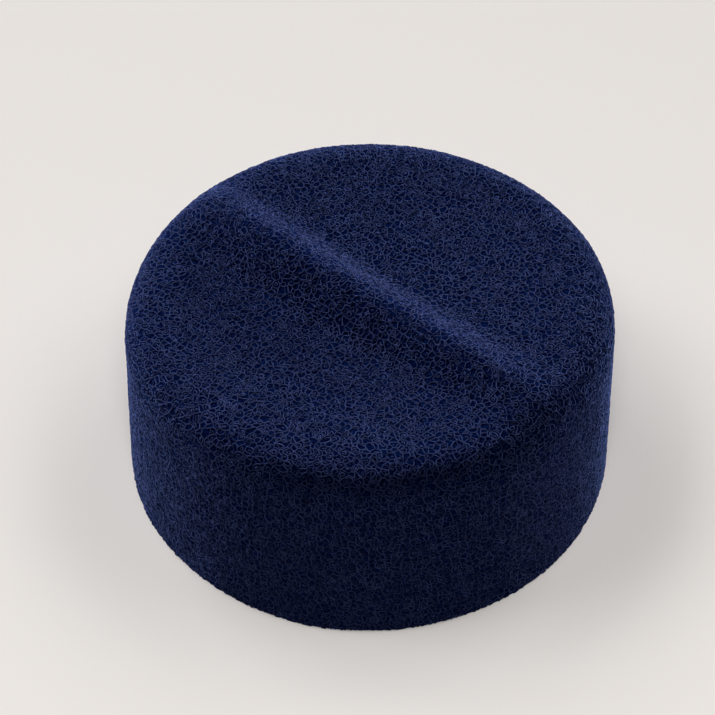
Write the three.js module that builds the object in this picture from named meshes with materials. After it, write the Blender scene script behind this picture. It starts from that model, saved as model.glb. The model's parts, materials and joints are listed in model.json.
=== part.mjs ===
// A chechia: a low, brimless cap made in one piece of fulled wool felt.
// The wall is a short cone that stands on its open rim. A rounded shoulder turns it into the crown, which
// sags in the middle, lies a little lower on the left, and carries one soft fold: a rounded ridge that
// runs from front to back, with a hollow along its left side. The cap is a little out of round, as soft
// felt is. It is one closed solid of even thickness, open below.
//
// Millimetres. +Z is up, +Y is towards the back of the head along the fold, +X is the wearer's right,
// and the origin is the centre of the rim, on the surface that the cap rests on.

import * as THREE from 'three';

// Driving dimensions.
const HEAD_CIRCUMFERENCE = 580; // inside the rim, head size 58
const FELT_THICKNESS = 3;
const HEIGHT = 82.7; // from the rim to the edge of the crown
const WALL_TAPER = 3.4; // the shoulder's radius is this much less than the rim's
const SHOULDER_DEPTH = 20; // the wall starts to turn this far below the crown's edge, and this far out
const SHOULDER_POWER = 2.9; // 2 is a quarter circle, and higher is a tighter turn
const SAG_DEPTH = 5.6; // how far the crown sags at its centre
const SAG_POWER = 1.7; // 1 is a cone and 2 a bowl
const LEFT_DROP = 1.4; // how far the crown's left edge lies below the middle, and the right edge above it
const RELIEF_RUN_OUT = 12; // the crown's relief fades to nothing over this distance, at the shoulder

const RIM_RADIUS = HEAD_CIRCUMFERENCE / (2 * Math.PI) + FELT_THICKNESS;
const SHOULDER_RADIUS = RIM_RADIUS - WALL_TAPER;
const CROWN_RADIUS = SHOULDER_RADIUS - SHOULDER_DEPTH; // of the part inside the shoulder's turn

// The fold, as sections across it from the front of the crown to the back. The ridge rises to its crest
// at crestX, and falls away to nothing over leftRun and rightRun. The hollow is deepest by drop at
// hollowX, and is hollowRun wide on each side.
const FOLD_SECTIONS = [
  { y: -90, crestX: -3.6, rise: 0.0, leftRun: 17, rightRun: 19, hollowX: -26, drop: 0.0, hollowRun: 32 },
  { y: -74, crestX: -3.6, rise: 2.7, leftRun: 17, rightRun: 18.5, hollowX: -26, drop: 0.3, hollowRun: 32 },
  { y: -50, crestX: -4.2, rise: 6.8, leftRun: 17, rightRun: 18.5, hollowX: -25, drop: 1.1, hollowRun: 34 },
  { y: -20, crestX: -4.4, rise: 8.7, leftRun: 17.5, rightRun: 19.5, hollowX: -28, drop: 1.5, hollowRun: 36 },
  { y: 10, crestX: -4.9, rise: 9.5, leftRun: 17.5, rightRun: 20, hollowX: -29, drop: 0.6, hollowRun: 36 },
  { y: 40, crestX: -5.2, rise: 9.4, leftRun: 17.5, rightRun: 20.5, hollowX: -26, drop: 0.0, hollowRun: 36 },
  { y: 66, crestX: -3.6, rise: 6.7, leftRun: 17.5, rightRun: 18.5, hollowX: -24, drop: 0.0, hollowRun: 34 },
  { y: 90, crestX: -1.4, rise: 1.3, leftRun: 15, rightRun: 17, hollowX: -24, drop: 0.0, hollowRun: 32 },
];

// How far the cap stands out from a true circle, by the angle from +X towards +Y.
const OUT_OF_ROUND = [
  { degrees: 0, out: 0.15 },
  { degrees: 30, out: 0.15 },
  { degrees: 60, out: 0.25 },
  { degrees: 90, out: -0.35 },
  { degrees: 120, out: -0.45 },
  { degrees: 150, out: 0.25 },
  { degrees: 180, out: 0.15 },
  { degrees: 210, out: 0.4 },
  { degrees: 240, out: -0.2 },
  { degrees: 270, out: -0.35 },
  { degrees: 300, out: -0.4 },
  { degrees: 330, out: 0.4 },
];

// How finely the surface is faceted. Each ring of the crown has this many points fewer than the next.
const RING_STEP = 6;
const CROWN_RINGS = 21;
const SHOULDER_STEPS = 7;

const columns = Object.keys(FOLD_SECTIONS[0]);
const sectionValues = FOLD_SECTIONS.flatMap((section) => Object.values(section));
const sectionPlaces = FOLD_SECTIONS.map((section) => section.y);
const sectionCurves = new THREE.CubicInterpolant(sectionPlaces, sectionValues, columns.length);

// The fold's section at y, on smooth curves through the rows of the table.
function foldSection(y) {
  const values = sectionCurves.evaluate(y);
  return Object.fromEntries(columns.map((column, i) => [column, values[i]]));
}

// The out-of-round rows over three turns, so that the curve closes on itself.
const roundRows = [-360, 0, 360].flatMap((turn) =>
  OUT_OF_ROUND.map(({ degrees, out }) => ({ degrees: degrees + turn, out })),
);
const roundPlaces = roundRows.map((row) => row.degrees);
const roundValues = roundRows.map((row) => row.out);
const roundCurve = new THREE.CubicInterpolant(roundPlaces, roundValues, 1);

// How much further from the middle the cap reaches at an angle than a truly round one, as a factor.
function roundStretch(angle) {
  return 1 + roundCurve.evaluate(THREE.MathUtils.radToDeg(angle))[0] / SHOULDER_RADIUS;
}

// A smooth rise from 0 to 1 as share goes from 0 to 1.
const ease = (share) => THREE.MathUtils.smoothstep(share, 0, 1);

// How far the fold lifts the crown at a place in plan.
function foldLift(x, y) {
  const section = foldSection(y);
  const fromCrest = x - section.crestX;
  const run = fromCrest < 0 ? section.leftRun : section.rightRun;
  const ridge = section.rise * ease(1 - Math.abs(fromCrest) / run);
  const hollow = section.drop * ease(1 - Math.abs(x - section.hollowX) / section.hollowRun);
  return ridge - hollow;
}

// How far the whole relief lifts the crown at a place in plan: the fold, the sag and the lower left side.
function reliefLift(x, y) {
  const radius = Math.hypot(x, y);
  const sag = SAG_DEPTH * (1 - (radius / SHOULDER_RADIUS) ** SAG_POWER);
  const lean = (LEFT_DROP * x) / SHOULDER_RADIUS;
  return ease((SHOULDER_RADIUS - radius) / RELIEF_RUN_OUT) * (foldLift(x, y) - sag + lean);
}

// The rings of the plain cap from the rim up, before the crown's relief.
function plainRings() {
  const wallTop = HEIGHT - SHOULDER_DEPTH;
  const rim = { radius: RIM_RADIUS, z: 0, count: RING_STEP * CROWN_RINGS };
  const shoulder = Array.from({ length: SHOULDER_STEPS }, (_, i) => {
    const turn = (i / SHOULDER_STEPS) * (Math.PI / 2);
    const reach = (share) => SHOULDER_DEPTH * share ** (2 / SHOULDER_POWER);
    return {
      radius: CROWN_RADIUS + reach(Math.cos(turn)),
      z: wallTop + reach(Math.sin(turn)),
      count: rim.count,
    };
  });
  const crown = Array.from({ length: CROWN_RINGS }, (_, i) => {
    const ring = CROWN_RINGS - i;
    return { radius: (CROWN_RADIUS * ring) / CROWN_RINGS, z: HEIGHT, count: RING_STEP * ring };
  });
  return [rim, ...shoulder, ...crown, { radius: 0, z: HEIGHT, count: 1 }];
}

// The outer face's points, ring by ring from the rim up to the crown's centre. Each ring starts at the
// back, so that columns of points run along the fold.
function outerRings() {
  const wallTop = HEIGHT - SHOULDER_DEPTH;
  return plainRings().map(({ radius, z, count }) =>
    Array.from({ length: count }, (_, i) => {
      const angle = Math.PI / 2 + (i / count) * 2 * Math.PI;
      const [x, y] = [radius * Math.cos(angle), radius * Math.sin(angle)];
      const stretch = roundStretch(angle);
      return new THREE.Vector3(x * stretch, y * stretch, z > wallTop ? z + reliefLift(x, y) : z);
    }),
  );
}

// The triangles between two rings of vertices, walking round both at once. The upper ring is never the
// longer one.
function band(lower, upper) {
  const faces = [];
  const upperSteps = upper.length > 1 ? upper.length : 0;
  let [i, j] = [0, 0];
  while (i < lower.length || j < upperSteps) {
    const [a, b] = [lower[i % lower.length], upper[j % upper.length]];
    const alongLower = (i + 1) / lower.length <= (j + 1) / upper.length;
    if (alongLower) {
      i += 1;
      faces.push(a, lower[i % lower.length], b);
    } else {
      j += 1;
      faces.push(a, upper[j % upper.length], b);
    }
  }
  return faces;
}

// The closed felt shell: the outer face, an inner face one felt thickness inside it, and the rim's flat
// ring between the lowest ring of each.
function feltShell() {
  const rings = outerRings();
  const outerPoints = rings.flat();
  const numbers = outerPoints.map((_, i) => i);
  const outer = rings.map((ring) => numbers.splice(0, ring.length));
  const outerFaces = outer.slice(1).flatMap((ring, i) => band(outer[i], ring));

  const outerSkin = new THREE.BufferGeometry().setFromPoints(outerPoints);
  outerSkin.setIndex(outerFaces);
  outerSkin.computeVertexNormals();
  const normals = outerSkin.getAttribute('normal');
  const innerPoints = outerPoints.map((point, i) => {
    if (i < rings[0].length) return point.clone().setLength(point.length() - FELT_THICKNESS);
    const normal = new THREE.Vector3().fromBufferAttribute(normals, i);
    return point.clone().addScaledVector(normal, -FELT_THICKNESS);
  });
  const toInner = (vertex) => vertex + outerPoints.length;
  const innerFaces = outerFaces.map(toInner).reverse();
  const rimFaces = band(outer[0].map(toInner), outer[0]);

  const shell = new THREE.BufferGeometry().setFromPoints([...outerPoints, ...innerPoints]);
  shell.setIndex([...outerFaces, ...innerFaces, ...rimFaces]);
  shell.computeVertexNormals();
  return shell;
}

const navyFelt = new THREE.MeshStandardMaterial({ color: 0x141d4a, roughness: 0.95, metalness: 0 });

function feltCap() {
  const cap = new THREE.Mesh(feltShell(), navyFelt);
  cap.name = 'felt_cap';
  return cap;
}

const chechia = new THREE.Group();
chechia.name = 'chechia';
chechia.add(feltCap());

export default chechia;
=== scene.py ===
import json
import math

import bpy
from bpy.props import FloatProperty, FloatVectorProperty, IntProperty, PointerProperty
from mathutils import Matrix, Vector

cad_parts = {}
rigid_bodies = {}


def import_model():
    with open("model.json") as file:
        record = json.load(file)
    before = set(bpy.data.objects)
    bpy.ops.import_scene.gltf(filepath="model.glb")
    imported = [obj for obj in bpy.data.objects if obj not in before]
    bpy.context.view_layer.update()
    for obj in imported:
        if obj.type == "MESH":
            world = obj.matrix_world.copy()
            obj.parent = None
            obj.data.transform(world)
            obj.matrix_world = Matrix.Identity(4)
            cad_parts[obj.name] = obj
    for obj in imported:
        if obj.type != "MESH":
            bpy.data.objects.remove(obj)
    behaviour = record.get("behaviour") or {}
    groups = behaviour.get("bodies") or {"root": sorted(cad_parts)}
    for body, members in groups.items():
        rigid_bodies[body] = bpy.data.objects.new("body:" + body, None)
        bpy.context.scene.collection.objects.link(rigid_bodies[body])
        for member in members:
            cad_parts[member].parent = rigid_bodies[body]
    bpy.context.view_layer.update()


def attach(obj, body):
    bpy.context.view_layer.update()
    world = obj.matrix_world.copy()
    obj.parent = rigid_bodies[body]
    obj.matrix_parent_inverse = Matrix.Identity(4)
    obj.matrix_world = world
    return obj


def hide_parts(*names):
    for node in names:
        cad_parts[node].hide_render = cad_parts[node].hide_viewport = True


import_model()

bl_info = {
    "name": "Chechia",
    "version": (1, 0, 0),
    "blender": (4, 5, 0),
    "location": "3D View > Sidebar > Chechia",
    "description": "A low, brimless cap of fulled wool felt with a curly nap and a soft fold in its crown",
    "category": "Add Mesh",
}

MM = 0.001
CAP_NODE = "felt_cap"
BODY = "root"

# The fold in the crown, as sections across it from the front to the back, in millimetres. The ridge rises
# to its crest at crest_x, and falls away to nothing over left_run and right_run. The hollow beside it is
# deepest by drop at hollow_x, and is hollow_run wide on each side.
FOLD_COLUMNS = ("y", "crest_x", "rise", "left_run", "right_run", "hollow_x", "drop", "hollow_run")
FOLD_SECTIONS = (
    (-90, -3.6, 0.0, 17, 19, -26, 0.0, 32),
    (-74, -3.6, 2.7, 17, 18.5, -26, 0.3, 32),
    (-50, -4.2, 6.8, 17, 18.5, -25, 1.1, 34),
    (-20, -4.4, 8.7, 17.5, 19.5, -28, 1.5, 36),
    (10, -4.9, 9.5, 17.5, 20, -29, 0.6, 36),
    (40, -5.2, 9.4, 17.5, 20.5, -26, 0.0, 36),
    (66, -3.6, 6.7, 17.5, 18.5, -24, 0.0, 34),
    (90, -1.4, 1.3, 15, 17, -24, 0.0, 32),
)

# How far the cap stands out from a true circle, in millimetres, by the angle in degrees from +X towards +Y.
ROUND_COLUMNS = ("degrees", "out")
OUT_OF_ROUND = (
    (0, 0.15),
    (30, 0.15),
    (60, 0.25),
    (90, -0.35),
    (120, -0.45),
    (150, 0.25),
    (180, 0.15),
    (210, 0.4),
    (240, -0.2),
    (270, -0.35),
    (300, -0.4),
    (330, 0.4),
)
FULL_TURN = 360

# How finely the skin is divided.
ROUND_SEGMENTS = 232
WALL_STEPS = 24
SHOULDER_STEPS = 16
ROUNDING_STEPS = 3

WAVE_SIZE = 22 * MM  # from one soft wave of the felt to the next
RIM_BAND = 0.5 * MM  # points below this belong to the rim
RIM_ANGLE = 50  # edges sharper than this, in degrees, are the rim's

# The nap is grown in sixths of the way round, from the left, so that no piece is too large.
SECTORS = ("left_front", "front", "right_front", "right_back", "back", "left_back")
SAME = 1e-6  # numbers closer than this are the same
CORNER_REACH = 0.58  # from a strand's middle to its corners, in thicknesses
NOISE_LOW, NOISE_HIGH = 0.3, 0.7  # nearly all of a noise lies between these

# How sharply the strands turn inward with the rim's rounding, and the share of that by which they are
# raised clear of the floor.
ROUNDING_POWER = 4
CLEAR_OF_FLOOR = 0.25

# Painted shade darkens the felt between strands: away from a strand, from the first of these to the second,
# in ring gaps. The matted fibres fade away from the lines of their web in the same way, in meshes of the
# web.
SHADE_FROM, SHADE_FULL = 0.1, 0.45
WEB_FULL, WEB_GONE = 0.06, 0.24

# The finish of the wool. The patches of its nap are a little darker or a little lighter than its colour.
FIBRE_SIZE = MM / 1.5
FIBRE_HEIGHT = 0.2 * MM
FIBRE_STRENGTH = 0.5
MOTTLE_SIZE = 6.25 * MM
MOTTLE_LOW, MOTTLE_HIGH = 0.8, 1.2
FELT_ROUGHNESS = 0.95
NAP_ROUGHNESS = 0.9
SHEEN_ROUGHNESS = 0.5

# The studio, in metres and degrees, with the lens and the sensor in millimetres.
FLOOR_SIZE = 12
FLOOR_ROUGHNESS = 0.9
FLOOR_GLOSS = 0.1
CAMERA_PLACE = (-0.3673, -0.304, 0.5491)
CAMERA_TILT = 43.45
CAMERA_TURN = -49.81
CAMERA_LENS = 90.6
CAMERA_SENSOR = 36
CAMERA_RIGHT = -50.36  # from +X to the right of someone at the camera who faces the cap

# The lights. Each lights only the cap or only the floor, so that the floor stays even and pale beside the
# strong light from behind that brings out the cap's fold. Azimuth is in degrees from the camera's right
# towards the back, elevation in degrees, distance and size in metres, and power in watts.
LIGHT_COLUMNS = ("name", "lit", "azimuth", "elevation", "distance", "size", "power")
LIGHTS = (
    ("overhead", "cap", 0, 90, 3.0, 1.5, 8.6),
    ("high back left", "cap", 120, 35, 3.0, 1.0, 50),
    ("left rear", "cap", 150, 18, 3.0, 1.0, 56),
    ("near left", "cap", 150, 12, 0.45, 0.25, 1.1),
    ("high back right", "cap", 60, 35, 3.0, 1.0, 18),
    ("back right", "cap", 60, 5, 3.0, 1.0, 115),
    ("right rear", "cap", 30, 5, 3.0, 1.0, 46),
    ("floor front", "floor", 270, 55, 3.0, 1.2, 44.1),
    ("floor left", "floor", 180, 55, 3.0, 1.2, 22.7),
    ("floor right", "floor", 0, 55, 3.0, 1.2, 12.9),
    ("floor back left", "floor", 135, 55, 3.0, 1.2, 16.5),
    ("floor back right", "floor", 45, 55, 3.0, 1.2, 11.9),
)


def linear(code):
    """The linear colour of an sRGB hex code."""
    parts = [int(code[i : i + 2], 16) / 255 for i in (1, 3, 5)]
    return [p / 12.92 if p <= 0.04045 else ((p + 0.055) / 1.055) ** 2.4 for p in parts]


def length(name, about, default):
    return FloatProperty(
        name=name, description=about, default=default, unit="LENGTH", min=0, precision=5
    )


def colour(name, about, code):
    return FloatVectorProperty(
        name=name, description=about, default=linear(code), subtype="COLOR", size=3, min=0, max=1
    )


def portion(name, about, default, most=1):
    return FloatProperty(name=name, description=about, default=default, min=0, max=most)


class CapShape(bpy.types.PropertyGroup):
    rim_radius: length("Rim radius", "Mean outer radius of the rim", 95.31 * MM)
    height: length("Height", "From the rim to the edge of the crown", 82.7 * MM)
    thickness: length("Felt thickness", "Thickness of the felt", 3 * MM)
    wall_taper: length("Wall taper", "How much less the shoulder's radius is than the rim's", 3.4 * MM)
    shoulder_depth: length("Shoulder depth", "How far down and out the shoulder's turn reaches", 20 * MM)
    shoulder_power: FloatProperty(
        name="Shoulder tightness",
        description="2 is a quarter circle, and higher is a tighter turn",
        default=2.9,
        min=2,
    )
    sag_depth: length("Sag", "How far the crown sags at its centre", 5.6 * MM)
    sag_power: FloatProperty(name="Sag form", description="1 is a cone and 2 a bowl", default=1.7, min=1)
    left_drop: length("Left drop", "How far the crown's left edge lies below the middle", 1.4 * MM)
    relief_run_out: length(
        "Relief run-out", "Width over which the crown's relief fades at the shoulder", 12 * MM
    )
    rim_rounding: length("Rim rounding", "Radius of the rim's two edges", 1.4 * MM)
    unevenness: length("Unevenness", "Height of the felt's soft waves", 0.5 * MM)


class NapShape(bpy.types.PropertyGroup):
    curl: length("Curl size", "Distance between the middles of two curls", 2.45 * MM)
    scatter: portion("Scatter", "How unevenly the curls lie", 0.7)
    ring_gap: portion("Ring gap", "Distance from ring to ring in a curl, in curls", 0.25)
    ring_break: portion("Ring break", "How far rings stray from their place, in gaps", 1.2, most=3)
    ring_break_size: length("Break size", "Size of the places where rings stray", 1.35 * MM)
    bend: length("Bend size", "Size of the bends in the strands", 1.35 * MM)
    bend_reach: length("Bend reach", "How far the bends push a strand", 1.7 * MM)
    strand: length("Strand", "Thickness of a strand of the nap", 0.47 * MM)
    web: length("Web", "Size of the matted fibres' mesh between the curls", 1.3 * MM)
    step: length("Strand step", "Length of one straight piece of a strand", 1.0 * MM)
    wave: length("Wave", "Length over which a strand rises and dips", 2.0 * MM)
    rise: length("Rise", "How far a strand rises out of the felt", 0.2 * MM)
    dip: length("Dip", "How far a strand dips into the felt", 0.15 * MM)
    fineness: IntProperty(
        name="Fineness", description="How often the skin is halved to find the strands", default=3, min=0
    )
    smoothing: IntProperty(
        name="Smoothing", description="How often the strands are smoothed", default=3, min=0
    )


class FeltColours(bpy.types.PropertyGroup):
    # The ground is the felt's own dark navy, partly real and partly painted shade: it is set far darker
    # than the strands of the same wool to stand for the shade in the pits between them.
    ground: colour("Ground", "The felt between the curls", "#010427")
    matted: colour("Matted", "The matted fibres between the curls", "#041540")
    strand: colour("Strand", "The curls", "#2c3257")
    sheen: colour("Sheen", "The soft light that the wool's fine fibres catch", "#8aaaff")
    # Painted shade: the share of its colour that the felt keeps between strands, where their shade would
    # fall.
    between: portion("Between", "How light the felt is between strands, beside right under them", 0.6)
    felt_sheen: portion("Felt sheen", "Sheen of the felt", 0.05)
    nap_sheen: portion("Nap sheen", "Sheen of the nap", 0.3)


class StudioLook(bpy.types.PropertyGroup):
    floor: colour("Floor", "The plain floor", "#eae5e1")
    surround: colour("Surround", "The pale room around", "#f4f1ee")
    ambient: portion("Ambient", "How much the pale room lights everything", 0.05)
    backdrop: portion("Backdrop", "How bright the pale room itself looks", 0.85)


GROUPS = {
    "chechia_cap": CapShape,
    "chechia_nap": NapShape,
    "chechia_colours": FeltColours,
    "chechia_studio": StudioLook,
}


def deselect_all():
    for thing in bpy.context.selected_objects:
        thing.select_set(False)


def only(thing):
    """Make a thing the one selected and active object."""
    deselect_all()
    thing.select_set(True)
    bpy.context.view_layer.objects.active = thing


def finish_piece(piece, name, replaced=()):
    """Name a piece and tell the frame where it belongs."""
    piece.name = piece.data.name = name
    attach(piece, BODY)
    if replaced:
        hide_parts(*replaced)


def add_node(tree, kind, inputs=(), **settings):
    """Add a node with its settings. Each of inputs is a socket's name or number with a value or another
    node's output."""
    made = tree.nodes.new(kind)
    for key, value in settings.items():
        setattr(made, key, value)
    for key, value in dict(inputs).items():
        if isinstance(value, bpy.types.Node):
            value = next(socket for socket in value.outputs if socket.enabled)
        if isinstance(value, bpy.types.NodeSocket):
            tree.links.new(value, made.inputs[key])
        else:
            made.inputs[key].default_value = value
    return made


def ease(share):
    share = min(max(share, 0), 1)
    return share * share * (3 - 2 * share)


def along(rows, columns, place):
    """The values at a place between the rows of a table, on smooth curves through them."""
    place = min(max(place, rows[0][0]), rows[-1][0])
    at = next(i for i in range(1, len(rows)) if place <= rows[i][0])
    start, end = rows[at - 1], rows[at]
    before, after = rows[max(at - 2, 0)], rows[min(at + 1, len(rows) - 1)]
    span = end[0] - start[0]
    share = (place - start[0]) / span
    values = {}
    for i, column in enumerate(columns):
        rise = end[i] - start[i]
        slope_in = (end[i] - before[i]) / (end[0] - before[0]) * span if before is not start else rise
        slope_out = (after[i] - start[i]) / (after[0] - start[0]) * span if after is not end else rise
        a = slope_in + slope_out - 2 * rise
        b = rise - slope_in - a
        values[column] = start[i] + slope_in * share + b * share**2 + a * share**3
    return values


def round_stretch(shape, x, y):
    """How much further from the middle a place lies than it would on a truly round cap, as a share."""
    turns = [(degrees + FULL_TURN * turn, out) for turn in (-1, 0, 1) for degrees, out in OUT_OF_ROUND]
    out = along(turns, ROUND_COLUMNS, math.degrees(math.atan2(y, x)))["out"]
    return out * MM / (shape.rim_radius - shape.wall_taper)


def relief_lift(shape, x, y):
    """How far the crown is lifted at a place in plan: the fold, the sag and the lower left side."""
    section = along(FOLD_SECTIONS, FOLD_COLUMNS, y / MM)
    from_crest = x / MM - section["crest_x"]
    run = section["left_run"] if from_crest < 0 else section["right_run"]
    ridge = section["rise"] * ease(1 - abs(from_crest) / run)
    hollow = section["drop"] * ease(1 - abs(x / MM - section["hollow_x"]) / section["hollow_run"])
    radius = math.hypot(x, y)
    edge = shape.rim_radius - shape.wall_taper
    sag = shape.sag_depth * (1 - min(radius / edge, 1) ** shape.sag_power)
    lean = shape.left_drop * x / edge
    return ease((edge - radius) / shape.relief_run_out) * ((ridge - hollow) * MM - sag + lean)


def plain_profile(shape):
    """The plain cap's outer profile from the rim up to the crown's edge, as radius and height."""
    wall_top = shape.height - shape.shoulder_depth
    edge = shape.rim_radius - shape.wall_taper
    points = []
    for i in range(WALL_STEPS):
        share = i / WALL_STEPS
        points.append((shape.rim_radius - shape.wall_taper * share, wall_top * share))
    for i in range(SHOULDER_STEPS + 1):
        turn = i / SHOULDER_STEPS * math.pi / 2
        out, up = (max(s, 0) ** (2 / shape.shoulder_power) for s in (math.cos(turn), math.sin(turn)))
        points.append((edge - shape.shoulder_depth * (1 - out), wall_top + shape.shoulder_depth * up))
    return points


def press(thing, axis, shifts):
    """Press a thing into shape along an axis: each vertex's number has its shift."""
    for way, sign in (("out", 1), ("in", -1)):
        most = max(shift * sign for shift in shifts.values())
        group = thing.vertex_groups.new(name=f"{way} along {axis}")
        for index, shift in shifts.items():
            if shift * sign > 0:
                group.add([index], shift * sign / most, "REPLACE")
        push = thing.modifiers.new(group.name, "DISPLACE")
        push.direction = axis
        push.vertex_group = group.name
        push.strength = most * sign
        push.mid_level = 0


def make_skin(shape):
    """The cap's outer skin: a ring drawn up into the wall and shoulder, closed by the crown, pressed into
    its relief and out of round, and given the felt's soft waves."""
    deselect_all()
    points = plain_profile(shape)
    bpy.ops.mesh.primitive_circle_add(vertices=ROUND_SEGMENTS, radius=points[0][0], fill_type="NOTHING")
    skin = bpy.context.object
    bpy.ops.object.mode_set(mode="EDIT")
    for (last_radius, last_z), (radius, z) in zip(points, points[1:]):
        bpy.ops.mesh.extrude_edges_move(TRANSFORM_OT_translate={"value": (0, 0, z - last_z)})
        scale = radius / last_radius
        bpy.ops.transform.resize(value=(scale, scale, 1), center_override=(0, 0, z))
    bpy.ops.mesh.fill_grid(span=ROUND_SEGMENTS // 4)
    bpy.ops.mesh.select_all(action="SELECT")
    bpy.ops.mesh.normals_make_consistent(inside=False)
    bpy.ops.object.mode_set(mode="OBJECT")

    wall_top = shape.height - shape.shoulder_depth
    relief = {v.index: relief_lift(shape, v.co.x, v.co.y) for v in skin.data.vertices if v.co.z > wall_top}
    stretch = {v.index: v.co.xy * round_stretch(shape, v.co.x, v.co.y) for v in skin.data.vertices}
    press(skin, "Z", relief)
    press(skin, "X", {index: shift.x for index, shift in stretch.items()})
    press(skin, "Y", {index: shift.y for index, shift in stretch.items()})
    waves = bpy.data.textures.new("felt waves", "CLOUDS")
    waves.noise_scale = WAVE_SIZE
    soft = skin.modifiers.new("waves", "DISPLACE")
    soft.texture = waves
    soft.strength = shape.unevenness
    soft.mid_level = 0.5
    only(skin)
    for modifier in [m.name for m in skin.modifiers]:
        bpy.ops.object.modifier_apply(modifier=modifier)
    bpy.data.textures.remove(waves)
    skin.vertex_groups.clear()
    bpy.ops.object.shade_smooth()
    return skin


def add_wool_shader(tree, base, roughness, colours, sheen, more=()):
    """End a material in the shader that both kinds of wool share: matt, with no gloss, and with a soft
    sheen from the fine fibres that stand off it."""
    inputs = {"Base Color": base, "Roughness": roughness, "Specular IOR Level": 0, **dict(more)}
    shader = add_node(tree, "ShaderNodeBsdfPrincipled", inputs)
    shader.inputs["Sheen Weight"].default_value = sheen
    shader.inputs["Sheen Roughness"].default_value = SHEEN_ROUGHNESS
    shader.inputs["Sheen Tint"].default_value = (*colours.sheen, 1)
    add_node(tree, "ShaderNodeOutputMaterial", {"Surface": shader})


def new_material(name):
    """A material with an empty node tree."""
    made = bpy.data.materials.new(name)
    made.use_nodes = True
    made.node_tree.nodes.clear()
    return made


def felt_material(colours, nap_shape):
    """Fulled wool felt: knitted wool that was shrunk and matted until no stitch shows. It is matt and
    almost black, with painted shade deep between the strands of its nap, and has a finer web of matted
    fibres there."""
    felt = new_material("fulled wool felt")
    tree = felt.node_tree
    place = add_node(tree, "ShaderNodeTexCoord").outputs["Object"]
    _, to_edge, depth = curl_nodes(tree, place, nap_shape)
    to_ring = add_node(tree, "ShaderNodeMath", {0: depth, 1: 0.5}, operation="PINGPONG")
    gaps = add_node(tree, "ShaderNodeMath", {0: to_edge, 1: nap_shape.ring_gap}, operation="DIVIDE")
    to_strand = add_node(tree, "ShaderNodeMath", {0: to_ring, 1: gaps}, operation="MINIMUM")
    # Painted shade: full colour right under a strand, multiplied down between strands where their shade
    # falls.
    painted_shade = add_node(
        tree,
        "ShaderNodeMapRange",
        {
            "Value": to_strand,
            "From Min": SHADE_FROM,
            "From Max": SHADE_FULL,
            "To Min": 1.0,
            "To Max": colours.between,
        },
        interpolation_type="SMOOTHSTEP",
    )
    # The felt's ground colour with the painted shade between strands.
    deep = add_node(
        tree,
        "ShaderNodeMix",
        {"Factor": 1, "A": (*colours.ground, 1), "B": painted_shade},
        data_type="RGBA",
        blend_type="MULTIPLY",
    )
    web = add_node(
        tree,
        "ShaderNodeTexVoronoi",
        {"Vector": place, "Scale": 1 / nap_shape.web, "Randomness": nap_shape.scatter},
        feature="DISTANCE_TO_EDGE",
    )
    matted = add_node(
        tree,
        "ShaderNodeMapRange",
        {
            "Value": web.outputs["Distance"],
            "From Min": WEB_FULL,
            "From Max": WEB_GONE,
            "To Min": 1.0,
            "To Max": 0.0,
        },
        interpolation_type="SMOOTHSTEP",
    )
    ground = add_node(
        tree,
        "ShaderNodeMix",
        {"Factor": matted.outputs[0], "A": deep.outputs["Result"], "B": (*colours.matted, 1)},
        data_type="RGBA",
    )
    fibres = add_node(tree, "ShaderNodeTexNoise", {"Vector": place, "Scale": 1 / FIBRE_SIZE, "Detail": 2})
    bump = add_node(
        tree, "ShaderNodeBump", {"Strength": FIBRE_STRENGTH, "Distance": FIBRE_HEIGHT, "Height": fibres}
    )
    add_wool_shader(
        tree, ground.outputs["Result"], FELT_ROUGHNESS, colours, colours.felt_sheen, {"Normal": bump}
    )
    return felt


def nap_material(colours):
    """Curled wool strands: the loose ends that the fulling leaves on the face. They catch more light than
    the felt under them, and are dyed a little unevenly."""
    nap = new_material("curled wool nap")
    tree = nap.node_tree
    place = add_node(tree, "ShaderNodeTexCoord").outputs["Object"]
    mottle = add_node(tree, "ShaderNodeTexNoise", {"Vector": place, "Scale": 1 / MOTTLE_SIZE, "Detail": 2})
    tone = add_node(
        tree,
        "ShaderNodeMapRange",
        {
            "Value": mottle,
            "From Min": NOISE_LOW,
            "From Max": NOISE_HIGH,
            "To Min": MOTTLE_LOW,
            "To Max": MOTTLE_HIGH,
        },
    )
    strand = add_node(
        tree,
        "ShaderNodeMix",
        {"Factor": 1, "A": (*colours.strand, 1), "B": tone.outputs[0]},
        data_type="RGBA",
        blend_type="MULTIPLY",
    )
    add_wool_shader(tree, strand.outputs["Result"], NAP_ROUGHNESS, colours, colours.nap_sheen)
    return nap


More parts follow.
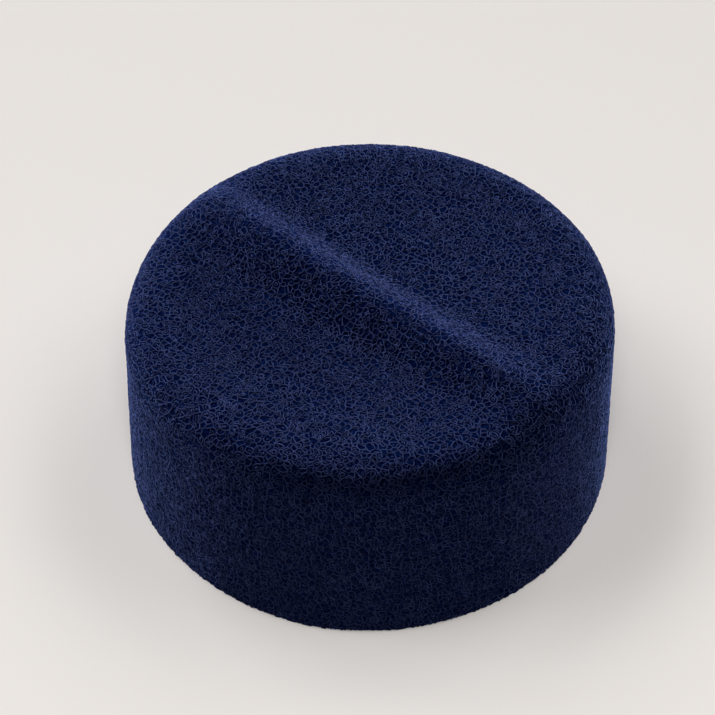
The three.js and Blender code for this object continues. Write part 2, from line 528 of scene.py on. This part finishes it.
def curl_nodes(tree, place, nap_shape):
    """The nodes that divide the felt into curls: irregular cells with broken rings inside them. They return
    a number that is the same all over a cell, the distance to the cell's edge, and how many rings deep a
    place lies in its cell. The skin's strands and the felt's colour both follow them."""
    bend = add_node(tree, "ShaderNodeTexNoise", {"Vector": place, "Scale": 1 / nap_shape.bend, "Detail": 0})
    shift = add_node(
        tree, "ShaderNodeVectorMath", {0: bend.outputs["Color"], 1: (0.5, 0.5, 0.5)}, operation="SUBTRACT"
    )
    push = add_node(
        tree, "ShaderNodeVectorMath", {0: shift, "Scale": nap_shape.bend_reach}, operation="SCALE"
    )
    bent = add_node(tree, "ShaderNodeVectorMath", {0: place, 1: push}, operation="ADD")
    spread = {"Vector": bent, "Scale": 1 / nap_shape.curl, "Randomness": nap_shape.scatter}
    cell = add_node(tree, "ShaderNodeTexVoronoi", spread, feature="F1")
    number = add_node(tree, "ShaderNodeSeparateXYZ", {0: cell.outputs["Color"]})
    edge = add_node(tree, "ShaderNodeTexVoronoi", spread, feature="DISTANCE_TO_EDGE")
    to_edge = edge.outputs["Distance"]
    gaps = add_node(tree, "ShaderNodeMath", {0: to_edge, 1: nap_shape.ring_gap}, operation="DIVIDE")
    stray = add_node(
        tree, "ShaderNodeTexNoise", {"Vector": place, "Scale": 1 / nap_shape.ring_break_size, "Detail": 0}
    )
    centred = add_node(tree, "ShaderNodeMath", {0: stray.outputs[0], 1: 0.5}, operation="SUBTRACT")
    depth = add_node(
        tree, "ShaderNodeMath", {0: centred, 1: nap_shape.ring_break, 2: gaps}, operation="MULTIPLY_ADD"
    )
    return number.outputs[0], to_edge, depth.outputs[0]


def new_tree(name, inputs, outputs):
    """An empty geometry node tree with its inputs and outputs, each a name with a socket's kind."""
    tree = bpy.data.node_groups.new(name, "GeometryNodeTree")
    for in_out, sockets in (("INPUT", inputs), ("OUTPUT", outputs)):
        for socket, kind in sockets.items():
            tree.interface.new_socket(socket, in_out=in_out, socket_type=kind)
    return tree


def line_nodes(nap_shape):
    """The nodes that find the strands' lines on the skin. A line runs along an edge where the two faces
    beside it belong to different cells, or lie in different rings of one cell. Each face gets one value
    from its cell and ring, and the two values beside such an edge have a spread."""
    tree = new_tree("strand lines", {"Skin": "NodeSocketGeometry"}, {"Lines": "NodeSocketGeometry"})
    start = add_node(tree, "NodeGroupInput")
    fine = add_node(tree, "GeometryNodeSubdivideMesh", {"Mesh": start, "Level": nap_shape.fineness})
    split = add_node(tree, "GeometryNodeTriangulate", {"Mesh": fine})
    spot = add_node(tree, "GeometryNodeInputPosition").outputs[0]
    cell, _, depth = curl_nodes(tree, spot, nap_shape)
    whole = add_node(tree, "ShaderNodeMath", {0: depth}, operation="FLOOR")
    ring = add_node(tree, "ShaderNodeMath", {0: whole, 1: 0.0}, operation="MAXIMUM")
    value = add_node(tree, "ShaderNodeMath", {0: ring, 1: 2.0, 2: cell}, operation="MULTIPLY_ADD")
    square = add_node(tree, "ShaderNodeMath", {0: value, 1: value}, operation="MULTIPLY")
    mean = add_node(tree, "GeometryNodeFieldOnDomain", {"Value": value}, domain="FACE")
    mean_square = add_node(tree, "GeometryNodeFieldOnDomain", {"Value": square}, domain="FACE")
    squared_mean = add_node(tree, "ShaderNodeMath", {0: mean, 1: mean}, operation="MULTIPLY")
    spread = add_node(tree, "ShaderNodeMath", {0: mean_square, 1: squared_mean}, operation="SUBTRACT")
    alike = add_node(tree, "ShaderNodeMath", {0: spread, 1: SAME}, operation="LESS_THAN")
    wire = add_node(
        tree,
        "GeometryNodeDeleteGeometry",
        {"Geometry": split, "Selection": alike},
        domain="EDGE",
        mode="EDGE_FACE",
    )
    even = add_node(
        tree,
        "GeometryNodeBlurAttribute",
        {"Value": spot, "Iterations": nap_shape.smoothing},
        data_type="FLOAT_VECTOR",
    )
    smooth = add_node(tree, "GeometryNodeSetPosition", {"Geometry": wire, "Position": even})
    add_node(tree, "NodeGroupOutput", {"Lines": smooth})
    return tree


def strand_nodes(shape, nap_shape, skin, material):
    """The nodes that make the strands of one sector from the lines. A strand rises out of the felt and dips
    into it along its way, and follows the rim's rounding inward."""
    tree = new_tree(
        "strands", {"Lines": "NodeSocketGeometry", "Sector": "NodeSocketInt"}, {"Nap": "NodeSocketGeometry"}
    )
    start = add_node(tree, "NodeGroupInput")
    lines = add_node(tree, "GeometryNodeMeshToCurve", {"Mesh": start.outputs["Lines"]})
    spot = add_node(tree, "GeometryNodeInputPosition").outputs[0]
    middle = add_node(
        tree, "GeometryNodeFieldOnDomain", {"Value": spot}, domain="CURVE", data_type="FLOAT_VECTOR"
    )
    where = add_node(tree, "ShaderNodeSeparateXYZ", {0: middle})
    turn = add_node(
        tree, "ShaderNodeMath", {0: where.outputs["Y"], 1: where.outputs["X"]}, operation="ARCTAN2"
    )
    sixths = add_node(
        tree,
        "ShaderNodeMapRange",
        {"Value": turn, "From Min": -math.pi, "From Max": math.pi, "To Min": 0, "To Max": len(SECTORS)},
    )
    sector = add_node(tree, "ShaderNodeMath", {0: sixths}, operation="FLOOR")
    elsewhere = add_node(
        tree,
        "FunctionNodeCompare",
        {"A": sector, "B": start.outputs["Sector"], "Epsilon": 0.5},
        data_type="FLOAT",
        operation="NOT_EQUAL",
    )
    kept = add_node(
        tree, "GeometryNodeDeleteGeometry", {"Geometry": lines, "Selection": elsewhere}, domain="CURVE"
    )
    even = add_node(
        tree, "GeometryNodeResampleCurve", {"Curve": kept, "Length": nap_shape.step}, mode="LENGTH"
    )
    face = add_node(tree, "GeometryNodeObjectInfo", {"Object": skin})
    outward = add_node(
        tree,
        "GeometryNodeSampleNearestSurface",
        {"Mesh": face.outputs["Geometry"], "Value": add_node(tree, "GeometryNodeInputNormal")},
        data_type="FLOAT_VECTOR",
    )
    wave = add_node(tree, "ShaderNodeTexNoise", {"Vector": spot, "Scale": 1 / nap_shape.wave, "Detail": 1})
    lift = add_node(
        tree,
        "ShaderNodeMapRange",
        {
            "Value": wave.outputs[0],
            "From Min": NOISE_LOW,
            "From Max": NOISE_HIGH,
            "To Min": -nap_shape.dip,
            "To Max": nap_shape.rise,
        },
    )
    height = add_node(tree, "ShaderNodeSeparateXYZ", {0: spot})
    near_rim = add_node(
        tree,
        "ShaderNodeMapRange",
        {
            "Value": height.outputs["Z"],
            "From Max": shape.rim_rounding,
            "To Min": shape.rim_rounding ** (1 / ROUNDING_POWER),
            "To Max": 0,
        },
    )
    tuck = add_node(tree, "ShaderNodeMath", {0: near_rim.outputs[0], 1: ROUNDING_POWER}, operation="POWER")
    shift = add_node(tree, "ShaderNodeMath", {0: lift.outputs[0], 1: tuck}, operation="SUBTRACT")
    offset = add_node(tree, "ShaderNodeVectorMath", {0: outward, "Scale": shift}, operation="SCALE")
    clear = add_node(
        tree,
        "ShaderNodeVectorMath",
        {0: tuck, 1: (0, 0, CLEAR_OF_FLOOR), 2: offset},
        operation="MULTIPLY_ADD",
    )
    lifted = add_node(tree, "GeometryNodeSetPosition", {"Geometry": even, "Offset": clear})
    section = add_node(
        tree,
        "GeometryNodeCurvePrimitiveCircle",
        {"Resolution": 3, "Radius": nap_shape.strand * CORNER_REACH},
    )
    strands = add_node(
        tree, "GeometryNodeCurveToMesh", {"Curve": lifted, "Profile Curve": section, "Fill Caps": True}
    )
    soft = add_node(tree, "GeometryNodeSetShadeSmooth", {"Geometry": strands})
    coated = add_node(tree, "GeometryNodeSetMaterial", {"Geometry": soft, "Material": material})
    add_node(tree, "NodeGroupOutput", {"Nap": coated})
    return tree


def flatten_rim(thing):
    """Bring the wall's lowest points, outside and inside, onto the plane that the cap rests on."""
    bpy.ops.object.mode_set(mode="EDIT")
    bpy.ops.mesh.select_all(action="DESELECT")
    bpy.ops.object.mode_set(mode="OBJECT")
    for vertex in thing.data.vertices:
        vertex.select = vertex.co.z < RIM_BAND
    bpy.ops.object.mode_set(mode="EDIT")
    bpy.ops.transform.resize(value=(1, 1, 0), center_override=(0, 0, 0))
    bpy.ops.object.mode_set(mode="OBJECT")


def copy_of(thing):
    """A copy of an object with its own mesh."""
    made = thing.copy()
    made.data = thing.data.copy()
    bpy.context.scene.collection.objects.link(made)
    return made


def grow(thing, tree, **inputs):
    """Apply a node tree to an object."""
    only(thing)
    modifier = thing.modifiers.new(tree.name, "NODES")
    modifier.node_group = tree
    for name, value in inputs.items():
        modifier[tree.interface.items_tree[name].identifier] = value
    bpy.ops.object.modifier_apply(modifier=modifier.name)


def paper_material(look):
    """Plain matt paper: pale, even, and with almost no gloss."""
    paper = bpy.data.materials.new("matt paper")
    paper.use_nodes = True
    shader = paper.node_tree.nodes["Principled BSDF"]
    shader.inputs["Base Color"].default_value = (*look.floor, 1)
    shader.inputs["Roughness"].default_value = FLOOR_ROUGHNESS
    shader.inputs["Specular IOR Level"].default_value = FLOOR_GLOSS
    return paper


def add_room(look):
    """The pale room around: faint as a light, and bright where the camera sees it."""
    world = bpy.data.worlds.new("pale room")
    world.use_nodes = True
    background = world.node_tree.nodes["Background"]
    background.inputs["Color"].default_value = (*look.surround, 1)
    path = add_node(world.node_tree, "ShaderNodeLightPath")
    strength = add_node(
        world.node_tree,
        "ShaderNodeMapRange",
        {"Value": path.outputs["Is Camera Ray"], "To Min": look.ambient, "To Max": look.backdrop},
    )
    world.node_tree.links.new(strength.outputs[0], background.inputs["Strength"])
    bpy.context.scene.world = world


def add_light(name, azimuth, elevation, distance, size, power):
    """A soft square light that faces the cap."""
    turn = math.radians(azimuth + CAMERA_RIGHT)
    lift = math.radians(elevation)
    away = Vector((math.cos(lift) * math.cos(turn), math.cos(lift) * math.sin(turn), math.sin(lift)))
    data = bpy.data.lights.new(name, "AREA")
    data.size = size
    data.energy = power
    light = bpy.data.objects.new(name, data)
    light.location = away * distance
    light.rotation_euler = away.to_track_quat("Z", "Y").to_euler()
    bpy.context.scene.collection.objects.link(light)
    return light


def add_camera():
    """The camera, which looks down on the cap from its front left."""
    camera = bpy.data.cameras.new("camera")
    camera.lens = CAMERA_LENS
    camera.sensor_width = CAMERA_SENSOR
    view = bpy.data.objects.new("camera", camera)
    view.location = CAMERA_PLACE
    view.rotation_euler = (math.radians(CAMERA_TILT), 0, math.radians(CAMERA_TURN))
    bpy.context.scene.collection.objects.link(view)
    bpy.context.scene.camera = view


class CHECHIA_OT_felt(bpy.types.Operator):
    """Build the felt cap: wall, shoulder, and crown with its fold"""

    bl_idname = "chechia.felt"
    bl_label = "Felt cap"

    def execute(self, context):
        scene = context.scene
        shape, nap_shape, colours = scene.chechia_cap, scene.chechia_nap, scene.chechia_colours
        body = make_skin(shape)
        wall = body.modifiers.new("wall", "SOLIDIFY")
        wall.thickness = shape.thickness
        wall.offset = -1
        wall.use_even_offset = True
        bpy.ops.object.modifier_apply(modifier=wall.name)
        flatten_rim(body)
        rounding = body.modifiers.new("rim", "BEVEL")
        rounding.width = shape.rim_rounding
        rounding.segments = ROUNDING_STEPS
        rounding.limit_method = "ANGLE"
        rounding.angle_limit = math.radians(RIM_ANGLE)
        bpy.ops.object.modifier_apply(modifier=rounding.name)
        bpy.ops.object.shade_smooth()
        body.data.materials.append(felt_material(colours, nap_shape))
        finish_piece(body, "felt_body", [CAP_NODE])
        return {"FINISHED"}


class CHECHIA_OT_nap(bpy.types.Operator):
    """Grow the curly nap on the cap's outer face"""

    bl_idname = "chechia.nap"
    bl_label = "Curly nap"

    def execute(self, context):
        scene = context.scene
        shape, nap_shape, colours = scene.chechia_cap, scene.chechia_nap, scene.chechia_colours
        skin = make_skin(shape)
        lines = copy_of(skin)
        grow(lines, line_nodes(nap_shape))
        strands = strand_nodes(shape, nap_shape, skin, nap_material(colours))
        for number, sector in enumerate(SECTORS):
            nap = copy_of(lines)
            grow(nap, strands, Sector=number)
            finish_piece(nap, f"nap_{sector}")
        bpy.data.objects.remove(lines)
        bpy.data.objects.remove(skin)
        return {"FINISHED"}


class CHECHIA_OT_studio(bpy.types.Operator):
    """Set the plain pale floor, the pale room, the soft lights and the camera"""

    bl_idname = "chechia.studio"
    bl_label = "Studio"

    def execute(self, context):
        scene = context.scene
        look = scene.chechia_studio
        deselect_all()
        bpy.ops.mesh.primitive_plane_add(size=FLOOR_SIZE, location=(0, 0, 0))
        floor = bpy.context.object
        floor.name = "floor"
        floor.data.materials.append(paper_material(look))
        add_room(look)

        lit = {name: bpy.data.collections.new(f"lit as the {name}") for name in ("cap", "floor")}
        lit["floor"].objects.link(floor)
        for piece in scene.objects:
            if piece.name.startswith(("felt_body", "nap_")):
                lit["cap"].objects.link(piece)
        for row in LIGHTS:
            values = dict(zip(LIGHT_COLUMNS, row))
            receivers = lit[values.pop("lit")]
            add_light(**values).light_linking.receiver_collection = receivers

        add_camera()
        scene.view_settings.view_transform = "Standard"
        return {"FINISHED"}


class CHECHIA_PT_panel(bpy.types.Panel):
    bl_label = "Chechia"
    bl_idname = "CHECHIA_PT_panel"
    bl_space_type = "VIEW_3D"
    bl_region_type = "UI"
    bl_category = "Chechia"

    def draw(self, context):
        for operator in OPERATORS:
            self.layout.operator(operator.bl_idname)
        for name, group in GROUPS.items():
            box = self.layout.box()
            for key in group.__annotations__:
                box.prop(getattr(context.scene, name), key)


OPERATORS = (CHECHIA_OT_felt, CHECHIA_OT_nap, CHECHIA_OT_studio)
CLASSES = (*GROUPS.values(), *OPERATORS, CHECHIA_PT_panel)


def register():
    for made in CLASSES:
        bpy.utils.register_class(made)
    for name, group in GROUPS.items():
        setattr(bpy.types.Scene, name, PointerProperty(type=group))


def unregister():
    for name in GROUPS:
        delattr(bpy.types.Scene, name)
    for made in reversed(CLASSES):
        bpy.utils.unregister_class(made)


def main():
    register()
    bpy.ops.chechia.felt()
    bpy.ops.chechia.nap()
    bpy.ops.chechia.studio()


if __name__ == "__main__":
    main()
